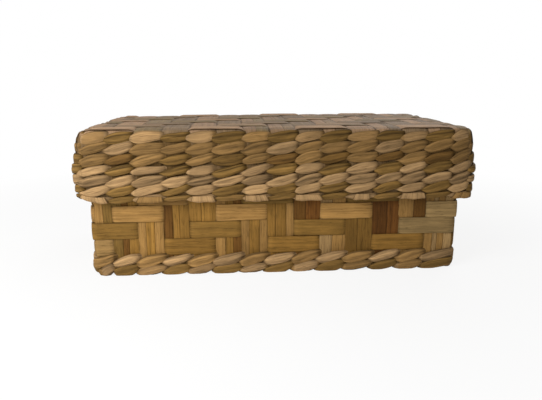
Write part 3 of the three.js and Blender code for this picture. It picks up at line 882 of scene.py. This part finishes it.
# Strips of the base
for number, strip in enumerate(base.strips):
    rng = piece_rng(strip.node)
    # Cross strips draw too, so that every strip takes its random numbers in one order
    leaves = chosen(rng, WALL_LEAVES, rng.integers(*WALL_LEAF_COUNTS))
    if number < BASE_CROSS_STRIPS:
        leaves = FRONT_WALL_LEAVES[number]
    style = LeafStyle(leaves, rng)
    add_strip(strip, base_side, bottom_z, -1, style, FLAT_LEAF, rng)

# Strips of the lid
for strip in lid.strips:
    rng = piece_rng(strip.node)
    hem_tone = chosen(rng, HEM_LEAVES, 1)[0]
    leaves = chosen(rng, LID_LEAVES, rng.integers(*LID_LEAF_COUNTS))
    style = LeafStyle(leaves, rng, hem_tone, LID_EDGE_PAINTED_SHADE)
    add_strip(strip, lid_side, top_z, 1, style, LID_LEAF, rng, LID_DOME)

# Wefts of the base's walls
for number, (low, high) in enumerate(weft_boxes):
    add_weft(number, (high[2] - low[2]) / 2, *WEFT_LEAVES[number])


@dataclass
class Row:
    """Sizes of a twined row: heights of a strand's middle outside and inside the stakes, how far from
    them its middle lies there, its half thickness and half height there, its rise over a stitch, the
    shares of its height that are lost where it comes out and where it goes in, how far it is pushed out
    at the corners, and the limit of its outside."""

    outside_z: float
    inside_z: float
    outside: float
    inside: float
    outside_thick: float
    inside_thick: float
    outside_height: float
    inside_height: float
    rise: float
    point: float
    close: float
    corner: float
    limit: float


def strand(loop, row, first, drift, tones, rng):
    """Grid of one strand of a twined row. With phase = pi * (count - first stake outside), the middle
    lies at tanh(flatness * (cos(phase + lead) + overlap)) of the way from inside to outside, and climbs
    by rise * asin(steepness * sin(phase)) / asin(steepness), up over a stake and down behind the next.
    The section is an oval, pointed where the strand comes out, with creases along it."""
    stakes = loop.stake_count
    samples = stakes * SAMPLES_PER_STITCH
    count = 0.5 + np.arange(samples) / SAMPLES_PER_STITCH
    phase = pi * (count - first)
    length = loop.length(count)
    plan, outward = loop.place(length)
    lean = np.tanh(STITCH_FLATNESS * (np.cos(phase + STITCH_LEAD) + STITCH_OVERLAP))
    outside_share = smooth(1 + lean)
    corner = loop.near_corner(length, CORNER_REACH)

    def stitch_values(spread):
        """A random value for each stitch, straight between their middles."""
        values = rng.normal(0, spread, stakes)
        wrapped = np.concatenate([values[-1:], values, values[:1]])
        return np.interp(count, np.arange(stakes + 2), wrapped)

    fullness = np.clip(1 + stitch_values(TALL_SPREAD), *TALL_RANGE)
    out = np.where(lean > 0, row.outside, row.inside) * lean
    out = out + row.corner * corner * outside_share
    thick = mix(row.inside_thick, row.outside_thick, (1 + lean) / 2)
    start = phase + pi / 2 + STITCH_LEAD + STITCH_OVERLAP
    end = phase - pi / 2 + STITCH_LEAD - STITCH_OVERLAP
    opened = 1 - row.point * np.exp(POINT_SHARPNESS * (np.cos(start) - 1))
    opened = opened - row.close * np.exp(CLOSE_SHARPNESS * (np.cos(end) - 1))
    tall = mix(row.inside_height, row.outside_height, outside_share)
    tall = tall * (opened + CORNER_FULLNESS * (1 - opened) * corner) * fullness
    height = mix(row.inside_z, row.outside_z, outside_share)
    climb = np.arcsin(CLIMB_STEEPNESS * np.sin(phase)) / asin(CLIMB_STEEPNESS)
    height = height + row.rise * (1 + stitch_values(RISE_SPREAD)) * climb
    height = height + drift(length) + stitch_values(PLACE_SPREAD)
    lean_over = stitch_values(LEAN_SPREAD)[:, None]
    angle = tau * np.arange(SECTION_POINTS) / SECTION_POINTS
    creases = rng.uniform(0, tau, CREASES)
    wandering = np.stack([wander(length, loop.total, rng, *CREASE_DRIFT) for _ in creases])
    apart = angle[None, None, :] - (creases[:, None] + wandering)[..., None]
    notch = np.exp(-((np.sin(apart / 2) / CREASE_WIDTH) ** 2)).sum(axis=0)
    swell = 1 - CREASE_DEPTH * notch
    oval = np.stack([np.cos(angle), np.sin(angle)])
    oval = np.sign(oval) * np.abs(oval) ** STITCH_FULLNESS
    across = thick[:, None] * swell * oval[0]
    upward = tall[:, None] * swell * oval[1]
    reach = out[:, None] + across * np.cos(lean_over) - upward * np.sin(lean_over)
    main = np.abs(outward).max(axis=1)
    limit = (row.limit + loop.radius * (1 - main)) / main
    reach = np.minimum(reach, limit[:, None])
    z = height[:, None] + upward * np.cos(lean_over) + across * np.sin(lean_over)
    points = np.empty((samples, SECTION_POINTS, 3))
    points[..., :2] = plan[:, None] + outward[:, None] * reach[..., None]
    points[..., 2] = np.maximum(z, FLOOR_GAP)
    rows = np.append(length, length[0] + loop.total)
    columns = GRAIN_ROUND * np.arange(SECTION_POINTS + 1) / SECTION_POINTS + rng.uniform(0, GRAIN_SHIFT)
    uv = np.stack(np.broadcast_arrays(rows[:, None], columns), axis=-1)
    nearest = np.mod(np.round(count).astype(int) - 1, stakes)
    # Painted shade along the strand's upper and lower edges
    edges = smooth(np.abs(oval[1]) * STITCH_EDGE_STEEPNESS - (STITCH_EDGE_STEEPNESS - 1))
    # Painted shade in the creases, times that along the edges
    shade = (1 - CREASE_PAINTED_SHADE * notch) * (1 - STITCH_EDGE_PAINTED_SHADE * edges)
    # Painted shade where the strand passes between two stakes
    shade = shade * (1 - PASS_PAINTED_SHADE * (1 - np.abs(lean[:, None])) ** 2)
    colours = tones[nearest][:, None] * shade[..., None]
    return points, uv, np.clip(colours, 0, 1)


def stitch_tones(rng, choices, count):
    """A tone for each stitch: a random blend of two of the choices, a little lighter or darker."""
    first, second = [np.array(choices)[rng.integers(0, len(choices), count)] for _ in range(2)]
    blend = rng.uniform(0, 1, (count, 1))
    return mix(second, first, blend) * (1 + rng.normal(0, STITCH_TONE_SPREAD, (count, 1)))


def add_row(node, loop, row, odd, even):
    """Both strands of a twined row, with the tones of the one that lies outside the odd stakes and of
    the one that lies outside the even stakes."""
    rng = piece_rng(node)
    phases = rng.uniform(0, tau, len(ROW_WAVES))

    def drift(length):
        """Slow rise and fall of the whole row: a sum of sines."""
        turn = tau * length[:, None] * np.array(ROW_WAVES) / loop.total + phases
        return ROW_DRIFT * np.sin(turn).sum(axis=1)

    for first, choices, name in ((1, odd, "first"), (2, even, "second")):
        tones = stitch_tones(rng, choices, loop.stake_count)
        grid = strand(loop, row, first, drift, tones, rng)
        add_piece(f"{node}_{name}_strand", grid, True, TWISTED_LEAF, node)


# Leaves of each skirt row from the top: outside the odd stakes, and outside the even ones
LID_ROW_LEAVES = [
    ([PALE * 0.9, MID * 1.15], [DARK * 1.1, DARK * 0.9]),
    ([MID, MID * 0.9], [MID * 1.05, PALE * 0.85]),
    ([MID * 1.2, MID], [DARK, DEEP]),
    ([PALE], [DARK * 1.25]),
    ([PALE * 0.95, PALE * 0.8], [PALE, PALE * 1.1]),
    ([PALE * 1.15, PALE * 1.05], [DARK * 1.25, DARK * 1.1]),
    ([PALE], [MID * 1.15, DARK * 1.15]),
]

# Shares by which the rows lie flatter and further in than the widest one, from the top
LID_ROW_INSETS = [1.0, 0.9, 0.5, 0.0, 0.1, 0.35, 1.0]

# Sizes of every skirt row, of the widest one, and by how much those are less in the flattest one
SKIRT_ROW = {"inside": 2.2, "inside_thick": 1.5, "rise": 1.8, "point": 0.72, "close": 0.25}
WIDEST_ROW = {"outside": 2.3, "outside_thick": 1.6, "corner": 0.8}
FLATTEST_ROW_LESS = {"outside": 0.9, "outside_thick": 0.5, "corner": 2.3}
ROW_OVERLAP = 0.5  # of a stitch with the rows above and below

# What differs in the first row, under the top's edge, and in the last one, inside the hems
FIRST_ROW = {"inside_height": 1.6, "rise": 1.0}
FIRST_ROW_OVERLAP = 0.3
FIRST_ROW_INNER_DROP = 2.2  # of its strands inside the stakes, below the row's middle
LAST_ROW = {"rise": 0.8, "corner": 0.3}
OUTER_DROP = 0.7  # of the stitches of both, below the row's middle

# Twined rows of the lid's skirt
for number, (odd, even) in enumerate(LID_ROW_LEAVES, 1):
    node = f"lid_twine_row_{number}"
    low, high = node_box(node)
    middle = (low[2] + high[2]) / 2
    half_height = (high[2] - low[2]) / 2
    inset = LID_ROW_INSETS[number - 1]
    row = SKIRT_ROW | {"outside_z": middle, "inside_z": middle, "limit": high[0] - lid.half_x}
    row |= {key: value - FLATTEST_ROW_LESS[key] * inset for key, value in WIDEST_ROW.items()}
    row |= {"outside_height": half_height + ROW_OVERLAP, "inside_height": half_height}
    if number == 1:
        row |= FIRST_ROW
        row["outside_height"] = half_height + FIRST_ROW_OVERLAP
        row["inside_z"] = middle - FIRST_ROW_INNER_DROP
    if number == LID_ROWS:
        row |= LAST_ROW
    if number in (1, LID_ROWS):
        row["outside_z"] = middle - OUTER_DROP
    add_row(node, skirt_loop, Row(**row), odd, even)

# Sizes of both foot rows
FOOT_ROW = {
    "outside": 2.2, "outside_thick": 1.7, "outside_height": 4.6,
    "inside": 2.2, "inside_thick": 1.5, "inside_height": 2.0,
    "rise": 1.9, "point": 0.6, "close": 0.35, "corner": -0.7,
}

# Each foot row: heights of its strands outside and inside the stakes, and its leaves outside the odd
# stakes and outside the even ones
FOOT_ROWS = {
    "lower": (3.7, 8.8, [PALE * 0.92, MID * 1.1], [DARK * 1.35, DARK * 1.2]),
    "upper": (11.0, 13.1, [MID * 1.5, MID * 1.3], [PALE * 1.4, PALE * 1.15]),
}

# Twined rows of the foot
for name, (outside_z, inside_z, odd, even) in FOOT_ROWS.items():
    node = f"base_foot_twine_{name}"
    limit = node_box(node)[1][0] - base.half_x
    row = FOOT_ROW | {"outside_z": outside_z, "inside_z": inside_z, "limit": limit}
    add_row(node, foot_loops[name], Row(**row), odd, even)

# Floor and surround, in metres
FLOOR_REACH = 6.0
FLOOR_TONE = (0.88, 0.88, 0.87, 1)
WHITE = (1, 1, 1, 1)
SURROUND_LEVEL = 0.34  # of the surround's light, where 1 is the white that the camera sees

# Distances from the middle between which the floor goes over to plain white, and its shares of white
FLOOR_FADE = {"From Min": 0.2, "From Max": 0.5, "To Min": 0.85, "To Max": 1.0}

# Lamps: place, target and size in metres, and power in watts
LAMPS = {
    "key": ((-0.34, -0.36, 0.3), (-0.08, 0, 0.06), 0.35, 2.6),
    "back": ((0.6, 0.9, 0.9), (0, 0, 0.06), 0.9, 5.6),
}

# The photo's camera: place in metres, degrees downwards and to the left, lens and sensor in millimetres
CAMERA_PLACE = (-0.0348, -0.4814, 0.1491)
CAMERA_DOWN = 12.68
CAMERA_TURN = -4.1
CAMERA_LENS = 37.0
CAMERA_SENSOR = 36.0


def add_stage():
    """A pale floor that stays near white to the camera and keeps a soft shadow."""
    mesh = bpy.data.meshes.new("floor")
    low, high = -FLOOR_REACH, FLOOR_REACH
    corners = [(low, low, 0), (high, low, 0), (high, high, 0), (low, high, 0)]
    mesh.from_pydata(corners, [], [(0, 1, 2, 3)])
    floor = add_object("floor", mesh)
    material = bpy.data.materials.new("pale_floor")
    nodes = Nodes(material)
    matt = nodes.node("ShaderNodeBsdfDiffuse", {}, {"Color": FLOOR_TONE})
    glow = nodes.node("ShaderNodeEmission", {}, {"Color": WHITE, "Strength": 1.0})
    place = nodes.node("ShaderNodeTexCoord", output="Object")
    distance = nodes.node("ShaderNodeVectorMath", {"operation": "LENGTH"}, {0: place}, output="Value")
    away = nodes.node("ShaderNodeMapRange", {"clamp": True}, {"Value": distance, **FLOOR_FADE})
    pale = away * nodes.seen_directly()
    mixed = nodes.node("ShaderNodeMixShader", {}, {0: pale, 1: matt, 2: glow})
    nodes.node("ShaderNodeOutputMaterial", {}, {"Surface": mixed})
    mesh.materials.append(material)


def add_lamp(name, place, target, size, power):
    """A soft square lamp at a place, aimed at a target."""
    lamp = bpy.data.lights.new(name, "AREA")
    lamp.size = size
    lamp.energy = power
    item = add_object(name, lamp)
    item.location = place
    away = Vector(place) - Vector(target)
    item.rotation_euler = away.to_track_quat("Z", "Y").to_euler()


def add_light():
    """A white surround, dimmer as light than as a backdrop, a soft lamp at the left and one behind."""
    world = bpy.data.worlds.new("studio")
    bpy.context.scene.world = world
    nodes = Nodes(world)
    strength = mix(SURROUND_LEVEL, 1, nodes.seen_directly())
    white = nodes.node("ShaderNodeBackground", {}, {"Color": WHITE, "Strength": strength})
    nodes.node("ShaderNodeOutputWorld", {}, {"Surface": white})
    for name, lamp in LAMPS.items():
        add_lamp(name, *lamp)


def add_camera():
    """The photo's camera: in front, a little to the left and above."""
    camera = bpy.data.cameras.new("camera")
    camera.sensor_width = CAMERA_SENSOR
    camera.lens = CAMERA_LENS
    item = add_object("camera", camera)
    item.location = CAMERA_PLACE
    item.rotation_euler = (radians(90 - CAMERA_DOWN), 0, radians(CAMERA_TURN))
    bpy.context.scene.camera = item


add_stage()
add_light()
add_camera()
bpy.context.scene.view_settings.view_transform = "Standard"
